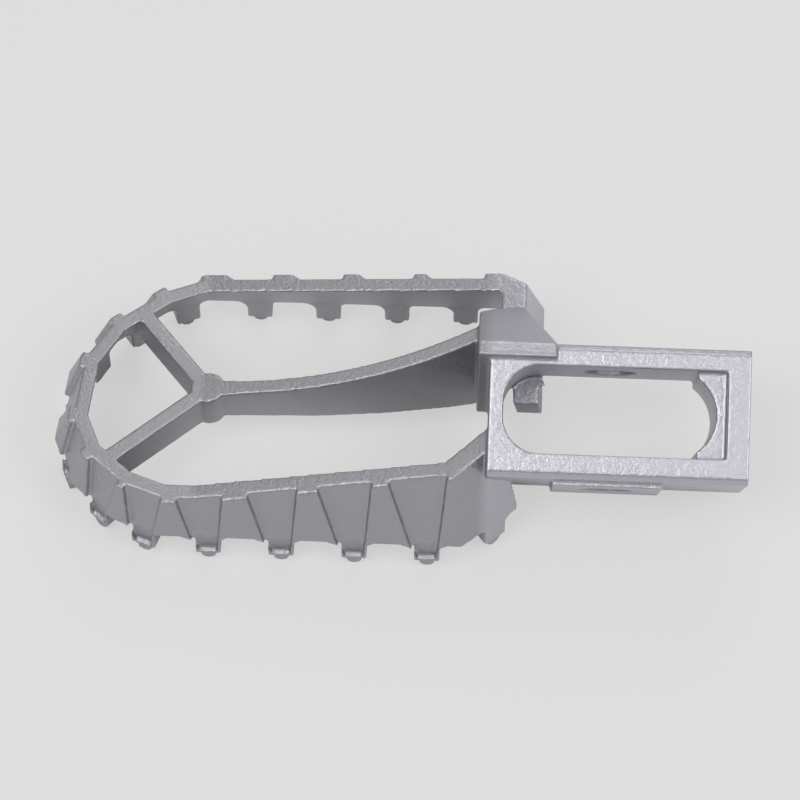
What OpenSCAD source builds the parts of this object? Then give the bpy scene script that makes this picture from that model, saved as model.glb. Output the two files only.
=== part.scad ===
// Foot peg for a motorcycle: one cast piece, lying teeth down, divided into its named members.
// Millimetres, +Z up. X runs from the tip towards the pivot end, Y from the front rail to the rear rail.
// The drawing origin is the middle of the pivot bore.

/* [Rail section] */
// Width of a rail's flat underside at a rib
rail_width = 4.0; // [3.6:0.1:4.6]
// Outward lean of the rail faces, degrees from upright
rail_lean = 20.5; // [19:0.5:22]
// Height of the rail's lower edge, the top of the arches between the teeth
arch_level = 8.5; // [8:0.1:9]
// Height of the level part of the underside
underside_level = 17.0; // [16.5:0.1:17.5]
// Rise of the underside towards the pivot end, degrees
underside_rise = 9.0; // [8:0.5:10]
// Place along X where the rise begins
rise_start_x = -38.7; // [-40:0.1:-37]

/* [Outline of the tread] */
// Front rail's outer face, on the level part of the underside
front_rail_y = -27.3; // [-28:0.1:-26.8]
// Front rail's right end, where the corner turns in to the block
front_root_x = 11.9; // [11:0.1:13]
// Front rail's left end
front_end_x = -44.8; // [-46:0.1:-44]
// Corner between the two front corner facets, along X
front_corner_x = -52.9; // [-53.5:0.1:-52]
// Corner between the two front corner facets, along Y
front_corner_y = -24.4; // [-25:0.1:-24]
// Corner between front corner and tip, along X
tip_front_x = -60.7; // [-61.5:0.1:-60]
// Corner between front corner and tip, along Y
tip_front_y = -17.6; // [-18.5:0.1:-17]
// Corner between the tip's first and second facets, along X
tip_mid_x = -64.2; // [-65:0.1:-63.5]
// Corner between the tip's first and second facets, along Y
tip_mid_y = -9.3; // [-10:0.1:-8.5]
// Corner between the tip's second and third facets, along X
tip_rear_x = -62.8; // [-63.5:0.1:-62]
// Corner between the tip's second and third facets, along Y
tip_rear_y = 4.6; // [4:0.1:5.4]
// Corner between tip and rear corner, along X
rear_corner_x = -57.5; // [-58:0.1:-57]
// Corner between tip and rear corner, along Y
rear_corner_y = 13.5; // [13:0.1:14]
// Corner between the two rear corner facets, along X
rear_bend_x = -47.8; // [-48.5:0.1:-47]
// Corner between the two rear corner facets, along Y
rear_bend_y = 20.9; // [20.4:0.1:21.4]
// Rear rail's left end
rear_end_x = -39.5; // [-40.2:0.1:-38.8]
// Rear rail's outer face at its left end
rear_rail_y = 24.2; // [23.8:0.1:24.6]
// Rear rail's right end
rear_root_x = 20.0; // [19.5:0.1:20.5]
// How much further out the rear rail stands at its right end
rear_rail_spread = 0.5; // [0:0.1:0.8]
// Outer face of the root wall, along X
root_wall_x = 27.5; // [27:0.1:28]
// Rear end of the root wall's outer face
root_wall_y = 21.0; // [20:0.1:22]
// Thickness of the root wall
root_wall_width = 5.0; // [4.5:0.1:5.5]
// Draft of the root wall's outer face, degrees from upright
root_wall_draft = 12.2; // [11:0.2:13]
// Outer face of the root wall at the arch level
root_wall_foot_x = 28.0; // [27.5:0.1:28.5]

/* [Teeth] */
// Depth of the pockets in the outer faces
pocket_depth = 1.1; // [0.9:0.1:1.3]
// Width of a pocket at its floor shelf
pocket_foot = 3.6; // [3.2:0.1:4]
// Height of the pocket's shelf
pocket_shelf = 3.3; // [3.1:0.1:3.6]
// Spread of a pocket's wide side, width per height
pocket_wide_slope = 0.30; // [0.26:0.01:0.34]
// Spread of a pocket's steep side, width per height
pocket_steep_slope = 0.08; // [0.05:0.01:0.12]
// Distance between neighbouring teeth
tooth_pitch = 14.15; // [13.8:0.05:14.4]
// First front tooth, along X
front_tooth_x = -36.0; // [-37:0.1:-35]
// First rear tooth, along X
rear_tooth_x = -29.2; // [-30:0.1:-28]
// Width of a tooth's body
tooth_width = 4.9; // [4.4:0.1:5.4]
// Height of the step where body changes to nub
tooth_step = 2.7; // [2.4:0.1:3]
// Fillet between rail and a tooth's wide flank
wide_fillet = 3.0; // [2.4:0.1:3.4]
// Fillet between rail and a tooth's steep flank
steep_fillet = 1.6; // [1.2:0.1:2]
// Width of a nub
nub_width = 3.0; // [2.6:0.1:3.4]
// Set-back of a nub from the tooth's outer face
nub_setback = 0.4; // [0.3:0.1:0.6]
// Thickness of a nub
nub_depth = 2.6; // [2.2:0.1:3]
// Shift of a corner tooth's foot from the middle of its facet
corner_tooth_shift = 1.2; // [0.8:0.1:1.6]

/* [Brace] */
// Hub centre along X
hub_x = -37.4; // [-38:0.1:-36.8]
// Hub centre along Y
hub_y = -1.7; // [-2.2:0.1:-1.2]
// Hub radius
hub_radius = 3.3; // [3:0.1:3.6]
// Width of the two short arms
arm_width = 3.0; // [2.6:0.1:3.4]
// Depth of the two short arms
arm_depth = 8.5; // [8:0.1:9]
// Front arm's direction, degrees from +X
front_arm_angle = 221.4; // [220:0.2:223]
// Rear arm's direction, degrees from +X
rear_arm_angle = 129.6; // [128:0.2:131]
// Width of the curved tail arm
tail_width = 2.9; // [2.6:0.1:3.2]
// Radius of the tail arm's centre line
tail_radius = 96; // [90:1:102]
// Lowest place of the tail arm's curve, along X
tail_low_x = -27.5; // [-29:0.5:-26]
// Lowest place of the tail arm's curve, along Y
tail_low_y = -2.0; // [-2.4:0.1:-1.6]
// Foot of the web's front face, along Y
web_foot_y = -2.7; // [-3:0.1:-2.4]
// Right end of the tail arm
tail_end_x = 15.0; // [14.5:0.1:15.5]

/* [Pivot block] */
// Tilt of the block about X, degrees
block_tilt = 25; // [24:0.5:26]
// Front lower edge of the block's face, along Y
block_y = -23.5; // [-24:0.1:-23]
// Front lower edge of the block's face, height
block_z = 25.0; // [24.6:0.1:25.4]
// Left end of the block
block_left_x = 17.3; // [17:0.1:17.6]
// Right end of the block
block_right_x = 67.0; // [66:0.1:68]
// Width of the block's face
block_width = 25.8; // [25.4:0.1:26.2]
// Depth of the block
block_depth = 21.5; // [20.5:0.1:22.5]
// Width of the slot
slot_width = 16.8; // [16.4:0.1:17.2]
// Distance of the slot from the block's front edge
slot_edge = 4.75; // [4.5:0.05:5]
// Left end of the slot
slot_left_x = 20.1; // [19.8:0.1:20.4]
// Right end of the slot
slot_right_x = 60.7; // [60.2:0.1:61.2]
// Corner radius of the slot's left end
slot_left_radius = 7.0; // [6.5:0.1:7.5]
// Right end of the recess round the slot
recess_right_x = 62.6; // [62.2:0.1:63]
// Depth of the recess
recess_depth = 2.0; // [1.6:0.1:2.4]
// Radius of the pivot bore
bore_radius = 5.05; // [5:0.01:5.1]
// Place of the pivot bore along X
bore_x = 40.4; // [39.8:0.1:41]
// Distance of the pivot bore from the block's face
bore_drop = 11.0; // [10.5:0.1:11.5]
// How far the boss stands out of the front wall
boss_proud = 1.2; // [1:0.1:1.4]
// Length of the boss
boss_length = 21.0; // [20:0.5:22]
// Bevel along the outer edges of the face
edge_bevel = 1.1; // [0.9:0.1:1.3]

/* [Hidden] */
$fn = 96;
far = 200;
lean = tan(rail_lean);
rise = tan(underside_rise);
root_lean = tan(root_wall_draft);
// outline corners on the level part of the underside, from the front root round the tip to the rear root
corners = [
    [front_root_x + 10, front_rail_y + 8.39],
    [front_root_x, front_rail_y],
    [front_end_x, front_rail_y],
    [front_corner_x, front_corner_y],
    [tip_front_x, tip_front_y],
    [tip_mid_x, tip_mid_y],
    [tip_rear_x, tip_rear_y],
    [rear_corner_x, rear_corner_y],
    [rear_bend_x, rear_bend_y],
    [rear_end_x, rear_rail_y],
    [rear_root_x, rear_rail_y + rear_rail_spread],
    [root_wall_x, root_wall_y],
    [root_wall_x, root_wall_y - 25]
];
function unit(v) = v / norm(v);
function along(i) = unit(corners[i + 1] - corners[i]);
function out(i) = [-along(i)[1], along(i)[0]];
function bisector(i) = i == 0 ? out(0) : i == len(corners) - 1 ? out(i - 1) : unit(out(i - 1) + out(i));
function seg_angle(i) = atan2(along(i)[1], along(i)[0]);
function seg_length(i) = norm(corners[i + 1] - corners[i]);
// outward offset of the outer face at height z
function face(z) = z < arch_level ? face(arch_level) : (underside_level - z) * lean;
top = underside_level + 12;

// the middle of the pivot bore, which becomes the origin
datum = [bore_x, block_y + block_width / 2 * cos(block_tilt) + bore_drop * sin(block_tilt),
    block_z + block_width / 2 * sin(block_tilt) - bore_drop * cos(block_tilt)];
module placed() translate(-datum) children();

// places a shape in a facet's own frame: X along it, Y outwards
module on_facet(i) translate([corners[i][0], corners[i][1], 0]) rotate([0, 0, seg_angle(i)]) children();

// the part of the plan that belongs to facet i
module facet_plan(i) {
    a = corners[i];
    b = corners[i + 1];
    linear_extrude(top + 5)
        polygon([a + bisector(i) * 12, b + bisector(i + 1) * 12, b - bisector(i + 1) * 8, a - bisector(i) * 8]);
}

// everything below the underside
module below_underside() {
    translate([0, far / 2, 0]) rotate([90, 0, 0]) linear_extrude(far)
        polygon([[-far, -1], [-far, underside_level], [rise_start_x, underside_level],
            [far, underside_level + (far - rise_start_x) * rise], [far, -1]]);
}

// a length of plain rail wall
module wall(i, width = rail_width) {
    intersection() {
        on_facet(i) translate([-20, 0, 0]) rotate([90, 0, 90]) linear_extrude(seg_length(i) + 40)
            polygon([[face(arch_level), arch_level], [face(top), top], [face(top) - width, top],
                [face(arch_level) - width, arch_level]]);
        facet_plan(i);
        below_underside();
    }
}

// the pocket of a tooth at s along facet i; wide and steep are the slopes of its two sides
module pocket(i, s, before, after) {
    h = top - pocket_shelf;
    on_facet(i) intersection() {
        translate([0, 20, 0]) rotate([90, 0, 0]) linear_extrude(40)
            polygon([[s - pocket_foot / 2, pocket_shelf], [s + pocket_foot / 2, pocket_shelf],
                [s + pocket_foot / 2 + after * h, top], [s - pocket_foot / 2 - before * h, top]]);
        translate([-30, 0, 0]) rotate([90, 0, 90]) linear_extrude(130)
            polygon([[face(0) - pocket_depth, pocket_shelf], [face(0) - pocket_depth, arch_level],
                [face(top) - pocket_depth, top], [20, top], [20, pocket_shelf]]);
    }
}

// a tooth below the arch level: body with a fillet on each flank, and the nub
module tooth(i, s, before, after) {
    height = arch_level - tooth_step;
    on_facet(i) {
        translate([s, face(0), 0]) rotate([90, 0, 0]) linear_extrude(rail_width) difference() {
            translate([-tooth_width / 2 - before, tooth_step]) square([tooth_width + before + after, height]);
            translate([-tooth_width / 2 - before, arch_level - before]) circle(before);
            translate([-tooth_width / 2 - before, 0]) square([before, arch_level - before]);
            translate([tooth_width / 2 + after, arch_level - after]) circle(after);
            translate([tooth_width / 2, 0]) square([after, arch_level - after]);
        }
        translate([s, face(0) - nub_setback, 0]) rotate([90, 0, 0]) linear_extrude(nub_depth) {
            translate([0, nub_width / 2]) circle(nub_width / 2);
            translate([-nub_width / 2, nub_width / 2]) square([nub_width, tooth_step - nub_width / 2]);
        }
    }
}

// tooth with its pocket cut
module cut_tooth(i, s, before, after, pb, pa) {
    difference() {
        tooth(i, s, before, after);
        pocket(i, s, pb, pa);
    }
}

// facet numbers
front = 1;
fc_a = 2;
fc_b = 3;
tip_a = 4;
tip_b = 5;
tip_c = 6;
rc_a = 7;
rc_b = 8;
rear = 9;
rear_root = 10;
root = 11;
front_root = 0;

function front_s(k) = front_root_x - (front_tooth_x + k * tooth_pitch);
function rear_s(k) = (rear_tooth_x + k * (tooth_pitch - 0.35) - rear_end_x) / along(rear)[0];
function mid_s(i) = seg_length(i) / 2;

module front_rail() color("silver") placed() difference() {
    wall(front);
    for (k = [0:3]) pocket(front, front_s(k), pocket_steep_slope, pocket_wide_slope);
}
module front_teeth() color("gainsboro") placed()
    for (k = [0:3]) cut_tooth(front, front_s(k), steep_fillet, wide_fillet, pocket_steep_slope, pocket_wide_slope);

module front_corner_rail() color("lightgray") placed() difference() {
    union() { wall(fc_a); wall(fc_b); }
    for (i = [fc_a, fc_b]) pocket(i, mid_s(i) - corner_tooth_shift, pocket_steep_slope, 0.22);
}
module front_corner_teeth() color("gainsboro") placed()
    for (i = [fc_a, fc_b])
        cut_tooth(i, mid_s(i) - corner_tooth_shift, 1.0, 1.6, pocket_steep_slope, 0.22);

module tip_rail() color("silver") placed() difference() {
    union() { wall(tip_a); wall(tip_b); wall(tip_c); }
    pocket(tip_a, mid_s(tip_a) - 0.8, 0.04, 0.16);
    pocket(tip_b, mid_s(tip_b), 0.2, 0.2);
    pocket(tip_c, mid_s(tip_c), 0.16, 0.16);
}
module tip_teeth() color("gainsboro") placed() {
    cut_tooth(tip_a, mid_s(tip_a) - 0.8, 1.0, 1.4, 0.04, 0.16);
    cut_tooth(tip_b, mid_s(tip_b), 1.6, 1.6, 0.2, 0.2);
    cut_tooth(tip_c, mid_s(tip_c), 1.4, 1.4, 0.16, 0.16);
}
module rear_corner_rail() color("lightgray") placed() difference() {
    union() { wall(rc_a); wall(rc_b); }
    for (i = [rc_a, rc_b]) pocket(i, mid_s(i), 0.16, 0.12);
}
module rear_corner_teeth() color("gainsboro") placed()
    for (i = [rc_a, rc_b]) cut_tooth(i, mid_s(i), 1.2, 1.2, 0.16, 0.12);

module rear_rail() color("silver") placed() difference() {
    wall(rear);
    for (k = [0:3]) pocket(rear, rear_s(k), pocket_wide_slope, pocket_steep_slope);
}
module rear_teeth() color("gainsboro") placed()
    for (k = [0:3]) cut_tooth(rear, rear_s(k), wide_fillet, steep_fillet, pocket_wide_slope, pocket_steep_slope);

// block's own frame: X as the part's, Y across its face, Z out of the face
module on_block() translate([0, block_y, block_z]) rotate([block_tilt, 0, 0]) children();
module block_envelope() on_block()
    translate([block_left_x, 0, -block_depth]) cube([block_right_x - block_left_x, block_width, block_depth]);

// everything on the inner side of the root wall's drafted outer face
module root_limit() {
    translate([0, far / 2, 0]) rotate([90, 0, 0]) linear_extrude(far)
        polygon([[-far, 0], [root_wall_foot_x + arch_level * root_lean, 0],
            [root_wall_foot_x - (top - arch_level) * root_lean, top], [-far, top]]);
}
// everything on the inner side of a facet's outer face
module face_limit(i) on_facet(i) translate([-far / 2, 0, 0]) rotate([90, 0, 90]) linear_extrude(far)
    polygon([[face(arch_level) + arch_level * lean, 0], [face(top), top], [-far, top], [-far, 0]]);
module rear_root_wall() color("darkgray") placed() difference() {
    root_wall_solid();
    block_envelope();
}
module root_wall_solid() {
    intersection() {
        union() {
            wall(rear_root);
            intersection() {
                translate([0, root_wall_y + 8, 0]) rotate([90, 0, 0]) linear_extrude(root_wall_y + 8)
                    polygon([[root_wall_foot_x - root_wall_width, arch_level], [root_wall_foot_x + 4, arch_level],
                        [root_wall_foot_x + 4, top], [root_wall_foot_x - root_wall_width
                        - (top - arch_level) * root_lean, top]]);
                face_limit(rear_root);
            }
        }
        root_limit();
        below_underside();
    }
}
module front_root_wall() color("darkgray") placed() difference() {
    intersection() {
        wall(front_root, rail_width);
        translate([-far, -far / 2, 0]) cube([far + 23.5, far, far]);
    }
    block_envelope();
}
module root_tooth() color("gainsboro") placed()
    difference() {
        tooth(front_root, 5.6, steep_fillet, 1.2);
        block_envelope();
    }

// Y-shaped brace
module brace_column(radius) translate([hub_x, hub_y, underside_level - arm_depth]) cylinder(h = arm_depth + 3, r = radius);
module brace_hub() color("lightsteelblue") placed() intersection() {
    brace_column(hub_radius);
    below_underside();
}
module arm(angle) intersection() {
    difference() {
        translate([hub_x, hub_y, underside_level - arm_depth]) rotate([0, 0, angle])
            translate([0, -arm_width / 2, 0]) cube([24, arm_width, arm_depth + 3]);
        brace_column(hub_radius);
        for (i = [fc_a:rc_b]) wall_keep_out(i);
    }
    below_underside();
}
// wall and everything outside it
module wall_keep_out(i) {
    intersection() {
        on_facet(i) translate([-20, 0, 0]) rotate([90, 0, 90]) linear_extrude(seg_length(i) + 40)
            polygon([[face(arch_level) - rail_width, arch_level], [face(top) - rail_width, top], [40, top],
                [40, -1], [face(arch_level) - rail_width, -1]]);
        facet_plan(i);
    }
}
module brace_front_arm() color("lightsteelblue") placed() arm(front_arm_angle);
module brace_rear_arm() color("lightsteelblue") placed() arm(rear_arm_angle);

web_step = 6;
web_start_x = -28;
// near face of the web: planes through the arm's front edge and the straight foot
function edge_pt(x) = [x, tail_low_y + tail_radius - sqrt(pow(tail_radius + tail_width / 2, 2) - pow(x - tail_low_x, 2)),
    underside_level + max(0, x - rise_start_x) * rise];
function face_normal(a, b) = let (
    p = edge_pt(a), q = edge_pt(b), f = [(a + b) / 2, web_foot_y, arch_level],
    n = cross(q - p, f - p)) n / norm(n);
module web_side(a, b) {
    n = face_normal(a, b);
    s = n[1] > 0 ? 1 : -1;
    m = n * s;
    // m points to the rear; keep the side it points to
    translate(edge_pt(a)) rotate([0, 0, atan2(-m[0], m[1])]) rotate([asin(m[2]), 0, 0])
        translate([-far / 2, 0, -far / 2]) cube([far, 40, far]);
}
module tail_arm() color("lightsteelblue") placed() difference() {
    intersection() {
        intersection_for(k = [0:6])
            web_side(web_start_x + k * web_step, web_start_x + (k + 1) * web_step);
        below_underside();
        translate([hub_x, -20, arch_level]) cube([tail_end_x - hub_x, 60, 40]);
    }
    translate([tail_low_x, tail_low_y + tail_radius, 0]) cylinder(h = top, r = tail_radius - tail_width / 2);
    brace_column(hub_radius);
    block_envelope();
}

// gusset from the rear root down to the block
module root_gusset() color("lightslategray") placed() difference() {
    intersection() {
        linear_extrude(50) polygon([[tail_end_x, -3], [tail_end_x, 10.9], [19, 12.8], [24, 12.8], [30, 0.0], [30, -3]]);
        translate([-far, 0, 0]) rotate([90, 0, 90]) linear_extrude(2 * far)
            polygon([[-20, 10], [-20, 36], [-0.2, 36], [12.8, 27.2], [40, 8.8], [40, 10]]);
    }
    block_envelope();
    root_wall_solid();
    translate([-far, -far, -1]) cube([2 * far, 2 * far, arch_level + 6]);
}

// pivot block
module slot_plan() {
    hull_right = slot_width / 2;
    translate([slot_left_x, slot_edge]) {
        translate([slot_left_radius, 0]) square([30, slot_width]);
        translate([0, slot_left_radius]) square([20, slot_width - 2 * slot_left_radius]);
        translate([slot_left_radius, slot_left_radius]) circle(slot_left_radius);
        translate([slot_left_radius, slot_width - slot_left_radius]) circle(slot_left_radius);
    }
    translate([slot_right_x - slot_width / 2, slot_edge + slot_width / 2]) circle(slot_width / 2);
    translate([slot_right_x - slot_width / 2 - 10, slot_edge]) square([10, slot_width]);
}
module block_cutter() {
    translate([0, 0, -block_depth - 1]) linear_extrude(block_depth + 2) slot_plan();
    translate([slot_right_x - slot_width / 2, slot_edge, -recess_depth])
        cube([recess_right_x - slot_right_x + slot_width / 2, slot_width, recess_depth + 1]);
    translate([bore_x, -5, -bore_drop]) rotate([-90, 0, 0]) cylinder(h = block_width + 10, r = bore_radius);
}
module block_part(x0, x1, y0, y1) on_block() difference() {
    translate([x0, y0, -block_depth]) cube([x1 - x0, y1 - y0, block_depth]);
    block_cutter();
    // bevel along the face's front and rear edges
    for (y = [0, block_width]) translate([-far, y, 0]) rotate([0, 90, 0]) rotate([0, 0, 45])
        translate([-edge_bevel / sqrt(2), -edge_bevel / sqrt(2), 0])
            cube([edge_bevel * sqrt(2), edge_bevel * sqrt(2), 2 * far]);
}
root_split = 30.4;
end_split = 52.3;
middle = slot_edge + slot_width / 2;
module pivot_root() color("slategray") placed() block_part(block_left_x, root_split, 0, block_width);
module pivot_end() color("slategray") placed() block_part(end_split, block_right_x, 0, block_width);
module pivot_front_wall() color("lightgray") placed() block_part(root_split, end_split, 0, middle);
module pivot_rear_wall() color("lightgray") placed() block_part(root_split, end_split, middle, block_width);
module pivot_boss() color("gainsboro") placed() on_block() difference() {
    translate([bore_x - boss_length / 2, -boss_proud, -block_depth + 1])
        cube([boss_length, boss_proud, block_depth - 4]);
    block_cutter();
}

front_rail();
front_corner_rail();
tip_rail();
rear_corner_rail();
rear_rail();
rear_root_wall();
front_root_wall();
front_teeth();
front_corner_teeth();
tip_teeth();
rear_corner_teeth();
rear_teeth();
root_tooth();
brace_hub();
brace_front_arm();
brace_rear_arm();
tail_arm();
root_gusset();
pivot_root();
pivot_end();
pivot_front_wall();
pivot_rear_wall();
pivot_boss();
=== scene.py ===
import math

import bpy
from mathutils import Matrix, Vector


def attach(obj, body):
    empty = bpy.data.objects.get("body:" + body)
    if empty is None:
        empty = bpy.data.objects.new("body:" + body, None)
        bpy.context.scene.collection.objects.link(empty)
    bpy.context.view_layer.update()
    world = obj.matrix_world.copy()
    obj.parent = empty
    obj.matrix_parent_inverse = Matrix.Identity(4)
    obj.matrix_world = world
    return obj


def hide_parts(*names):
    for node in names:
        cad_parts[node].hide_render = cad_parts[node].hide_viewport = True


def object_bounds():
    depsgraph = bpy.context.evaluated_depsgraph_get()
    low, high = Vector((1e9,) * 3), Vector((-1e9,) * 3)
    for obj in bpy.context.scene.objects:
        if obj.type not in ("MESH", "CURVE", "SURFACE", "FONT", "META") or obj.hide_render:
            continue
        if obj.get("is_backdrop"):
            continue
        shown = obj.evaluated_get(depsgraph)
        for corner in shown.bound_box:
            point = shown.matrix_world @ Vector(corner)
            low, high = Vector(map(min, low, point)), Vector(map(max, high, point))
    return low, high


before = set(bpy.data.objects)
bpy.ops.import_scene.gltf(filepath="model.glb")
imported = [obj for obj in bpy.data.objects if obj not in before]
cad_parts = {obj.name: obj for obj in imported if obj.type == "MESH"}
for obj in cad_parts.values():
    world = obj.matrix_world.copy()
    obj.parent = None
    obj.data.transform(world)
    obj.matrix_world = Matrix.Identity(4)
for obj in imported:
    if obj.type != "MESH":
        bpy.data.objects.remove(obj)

bl_info = {
    "name": "Foot Peg",
    "version": (1, 0, 0),
    "blender": (4, 5, 0),
    "location": "View3D > Sidebar > Foot Peg",
    "description": "Builds a cast motorcycle foot peg and a pale studio round it",
    "category": "Object",
}

CASTING_NODES = sorted(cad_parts)
# how close two corners of the CAD meshes lie to count as one
MERGE_DISTANCE = 1e-6
# the skin's smoothing after the remesh, and the share of its triangles that is kept
SMOOTH_FACTOR = 0.5
SMOOTH_STEPS = 4
KEPT_SHARE = 0.35

# where the coarser cast skin and the painted lighter reflection of the pivot block begin along X,
# and over what length they blend in
BLOCK_START = -0.0245
BLOCK_BLEND = 0.002
# colours of tread and block: the tread darker as painted shade, the block lighter as a painted
# reflection of its differently tilted face
RING_PAINTED_SHADE_COLOR = (0.40, 0.40, 0.42, 1)
BLOCK_PAINTED_REFLECTION_COLOR = (0.50, 0.49, 0.53, 1)
# grain of the casting: scale, detail and roughness of the noise
FINE_GRAIN = {"Scale": 1500.0, "Detail": 4.0, "Roughness": 0.6}
COARSE_GRAIN = {"Scale": 620.0, "Detail": 3.0, "Roughness": 0.55}
# how much of each grain the block's skin has
BLOCK_FINE = 0.6
BLOCK_COARSE = 0.8
GRAIN_STRENGTH = 0.55
GRAIN_HEIGHT = 0.00035
# roughness where the fine grain is lowest, and what the grain adds to it
ROUGHNESS_LOW = 0.32
ROUGHNESS_RANGE = 0.2

FLOOR_SIZE = 6.0
FLOOR_COLOR = (0.8, 0.8, 0.8, 1)
BACKDROP_COLOR = (0.70, 0.715, 0.70, 1)
# share of the backdrop colour in what the camera sees of the floor
BACKDROP_SHARE = 0.75
# name, place, size and power of each lamp
LAMPS = (
    ("key light", (-0.5, -0.4, 1.1), 0.6, 6.0),
    ("fill light", (0.7, -0.3, 0.9), 0.5, 4.0),
    ("back light", (0.1, 0.9, 0.8), 0.6, 2.5),
)
WORLD_COLOR = (0.8, 0.8, 0.82, 1)
WORLD_STRENGTH = 0.5
CLIP_START = 0.01
CLIP_END = 20


class Socket:
    """A node output that can be added, subtracted and multiplied like a number."""

    def __init__(self, tree, out):
        self.tree = tree
        self.out = out

    def math(self, operation, other):
        values = {index: value for index, value in enumerate((self, other))}
        return add_node(self.tree, "ShaderNodeMath", 0, values, operation=operation)

    def __add__(self, other):
        return self.math("ADD", other)

    __radd__ = __add__

    def __mul__(self, other):
        return self.math("MULTIPLY", other)

    __rmul__ = __mul__

    def __sub__(self, other):
        return self.math("SUBTRACT", other)

    def __rsub__(self, other):
        return self * -1 + other

    def clamp(self, low, high):
        return self.math("MAXIMUM", low).math("MINIMUM", high)


def add_node(tree, kind, output, inputs=(), **settings):
    """A node of any kind with its settings and inputs, given as its output socket."""
    node = tree.nodes.new(kind)
    for key, value in settings.items():
        setattr(node, key, value)
    for key, value in dict(inputs).items():
        if isinstance(value, Socket):
            tree.links.new(value.out, node.inputs[key])
        else:
            node.inputs[key].default_value = value
    return Socket(tree, node.outputs[output])


def new_material(name):
    """A material with an empty node tree."""
    material = bpy.data.materials.new(name)
    material.use_nodes = True
    material.node_tree.nodes.clear()
    return material


def finish_material(material, shader):
    """Sends the shader to the material's surface."""
    tree = material.node_tree
    out = tree.nodes.new("ShaderNodeOutputMaterial")
    tree.links.new(shader.out, out.inputs["Surface"])
    return material


def deselect():
    bpy.ops.object.select_all(action="DESELECT")


def only(obj):
    deselect()
    obj.select_set(True)
    bpy.context.view_layer.objects.active = obj


def apply_modifier(obj, kind, **settings):
    only(obj)
    modifier = obj.modifiers.new(kind.title(), kind)
    for key, value in settings.items():
        setattr(modifier, key, value)
    bpy.ops.object.modifier_apply(modifier=modifier.name)


def merged_copy(names, title):
    """One object with the merged copies of several CAD nodes."""
    deselect()
    copies = []
    for name in names:
        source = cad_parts[name]
        copy = source.copy()
        copy.data = source.data.copy()
        copy.parent = None
        for key in list(copy.keys()):
            del copy[key]
        bpy.context.scene.collection.objects.link(copy)
        copies.append(copy)
    for copy in copies:
        copy.select_set(True)
    bpy.context.view_layer.objects.active = copies[0]
    bpy.ops.object.join()
    obj = bpy.context.view_layer.objects.active
    obj.name = title
    obj.data.name = title
    bpy.ops.object.mode_set(mode="EDIT")
    bpy.ops.mesh.select_all(action="SELECT")
    bpy.ops.mesh.remove_doubles(threshold=MERGE_DISTANCE)
    bpy.ops.object.mode_set(mode="OBJECT")
    return obj


def cast_material(name):
    """Satin plated cast steel, finer on the tread and coarser on the block; its colour paints
    shade darker on the tread and a lighter reflection on the block.
    """
    material = new_material(name)
    tree = material.node_tree
    coords = add_node(tree, "ShaderNodeTexCoord", "Object")
    along = add_node(tree, "ShaderNodeSeparateXYZ", "X", {"Vector": coords})
    block = ((along - BLOCK_START) * (1 / BLOCK_BLEND)).clamp(0.0, 1.0)
    fine = add_node(tree, "ShaderNodeTexNoise", "Fac", {"Vector": coords, **FINE_GRAIN})
    coarse = add_node(tree, "ShaderNodeTexNoise", "Fac", {"Vector": coords, **COARSE_GRAIN})
    height = fine * (1 - block) + (fine * BLOCK_FINE + coarse * BLOCK_COARSE) * block
    bumped = add_node(tree, "ShaderNodeBump", "Normal",
                      {"Strength": GRAIN_STRENGTH, "Distance": GRAIN_HEIGHT, "Height": height})
    # a colour mix: inputs 0, 6 and 7 are its factor and two colours, output 2 is the result
    # this mix paints shade on the tread and a lighter reflection on the block
    color = add_node(tree, "ShaderNodeMix", 2, {0: block, 6: RING_PAINTED_SHADE_COLOR, 7: BLOCK_PAINTED_REFLECTION_COLOR},
                     data_type="RGBA")
    shader = add_node(tree, "ShaderNodeBsdfPrincipled", "BSDF",
                      {"Base Color": color, "Metallic": 1.0,
                       "Roughness": fine * ROUGHNESS_RANGE + ROUGHNESS_LOW, "Normal": bumped})
    return finish_material(material, shader)


def floor_material(name):
    """A matt floor that the camera sees mixed with an even backdrop colour."""
    material = new_material(name)
    tree = material.node_tree
    ray = add_node(tree, "ShaderNodeLightPath", "Is Camera Ray")
    plain = add_node(tree, "ShaderNodeBsdfDiffuse", "BSDF", {"Color": FLOOR_COLOR})
    glow = add_node(tree, "ShaderNodeEmission", "Emission",
                    {"Color": BACKDROP_COLOR, "Strength": 1.0})
    mix = add_node(tree, "ShaderNodeMixShader", 0, {0: ray * BACKDROP_SHARE, 1: plain, 2: glow})
    return finish_material(material, mix)


def add_floor(height):
    deselect()
    bpy.ops.mesh.primitive_plane_add(size=FLOOR_SIZE, location=(0, 0, height))
    floor = bpy.context.object
    floor.name = "floor"
    floor.data.materials.append(floor_material("floor"))
    floor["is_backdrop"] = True


def add_lamp(name, place, size, power, target):
    deselect()
    bpy.ops.object.light_add(type="AREA", location=place)
    lamp = bpy.context.object
    lamp.name = name
    lamp.data.size = size
    lamp.data.energy = power
    lamp.rotation_mode = "QUATERNION"
    lamp.rotation_quaternion = (target - Vector(place)).to_track_quat("-Z", "Y")
    lamp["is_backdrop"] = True


def add_world():
    world = bpy.data.worlds.new("studio")
    world.use_nodes = True
    background = world.node_tree.nodes["Background"]
    background.inputs["Color"].default_value = WORLD_COLOR
    background.inputs["Strength"].default_value = WORLD_STRENGTH
    bpy.context.scene.world = world


def add_camera(settings, target):
    azimuth = math.radians(settings.view_azimuth)
    elevation = math.radians(settings.view_elevation)
    back = Vector((math.sin(azimuth) * math.cos(elevation),
                   -math.cos(azimuth) * math.cos(elevation),
                   math.sin(elevation)))
    deselect()
    bpy.ops.object.camera_add(location=target + back * settings.view_distance)
    camera = bpy.context.object
    camera.rotation_mode = "QUATERNION"
    camera.rotation_quaternion = (-back).to_track_quat("-Z", "Y")
    camera.data.lens = settings.lens
    camera.data.clip_start = CLIP_START
    camera.data.clip_end = CLIP_END
    bpy.context.scene.camera = camera


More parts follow.
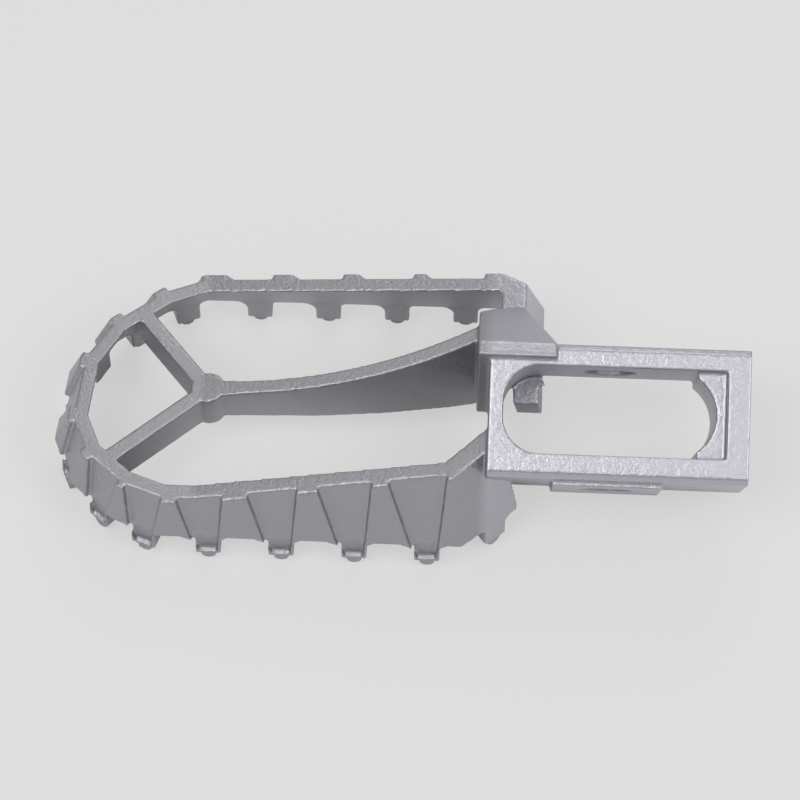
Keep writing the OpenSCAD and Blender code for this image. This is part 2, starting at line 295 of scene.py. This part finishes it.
class FootPegSettings(bpy.types.PropertyGroup):
    voxel: bpy.props.FloatProperty(
        name="Voxel size", description="Grid of the remeshed skin, in metres",
        default=0.00028, min=0.00015, max=0.001, precision=5)
    view_azimuth: bpy.props.FloatProperty(
        name="View azimuth", description="Degrees from the front", default=2.4)
    view_elevation: bpy.props.FloatProperty(
        name="View elevation", description="Degrees above the floor", default=60.0)
    view_distance: bpy.props.FloatProperty(
        name="View distance", description="From the target, in metres", default=0.7)
    lens: bpy.props.FloatProperty(
        name="Lens", description="Focal length in millimetres", default=160.65)
    target_x: bpy.props.FloatProperty(name="Target X", default=-0.0404)
    target_y: bpy.props.FloatProperty(name="Target Y", default=0.00716)
    target_z: bpy.props.FloatProperty(name="Target Z", default=-0.00848)


class FOOTPEG_OT_casting(bpy.types.Operator):
    """Joins the members into the one skin of the casting"""
    bl_idname = "footpeg.casting"
    bl_label = "Build casting"

    def execute(self, context):
        settings = context.scene.foot_peg
        obj = merged_copy(CASTING_NODES, "casting")
        apply_modifier(obj, "REMESH", mode="VOXEL", voxel_size=settings.voxel)
        apply_modifier(obj, "SMOOTH", factor=SMOOTH_FACTOR, iterations=SMOOTH_STEPS)
        apply_modifier(obj, "DECIMATE", ratio=KEPT_SHARE)
        only(obj)
        bpy.ops.object.shade_smooth()
        obj.data.materials.clear()
        obj.data.materials.append(cast_material("plated cast steel"))
        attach(obj, "root")
        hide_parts(*CASTING_NODES)
        return {"FINISHED"}


class FOOTPEG_OT_stage(bpy.types.Operator):
    """Adds the floor, the lamps, the world and the camera"""
    bl_idname = "footpeg.stage"
    bl_label = "Build stage"

    def execute(self, context):
        settings = context.scene.foot_peg
        low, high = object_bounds()
        target = Vector((settings.target_x, settings.target_y, settings.target_z))
        add_floor(low.z)
        for name, place, size, power in LAMPS:
            add_lamp(name, place, size, power, target)
        add_world()
        add_camera(settings, target)
        context.scene.view_settings.view_transform = "Standard"
        return {"FINISHED"}


class FOOTPEG_PT_panel(bpy.types.Panel):
    bl_label = "Foot Peg"
    bl_idname = "FOOTPEG_PT_panel"
    bl_space_type = "VIEW_3D"
    bl_region_type = "UI"
    bl_category = "Foot Peg"

    def draw(self, context):
        self.layout.operator("footpeg.casting")
        self.layout.operator("footpeg.stage")


CLASSES = (FootPegSettings, FOOTPEG_OT_casting, FOOTPEG_OT_stage, FOOTPEG_PT_panel)


def register():
    for item in CLASSES:
        bpy.utils.register_class(item)
    bpy.types.Scene.foot_peg = bpy.props.PointerProperty(type=FootPegSettings)


def unregister():
    del bpy.types.Scene.foot_peg
    for item in reversed(CLASSES):
        bpy.utils.unregister_class(item)


def main():
    register()
    bpy.ops.footpeg.casting()
    bpy.ops.footpeg.stage()


if __name__ == "__main__":
    main()
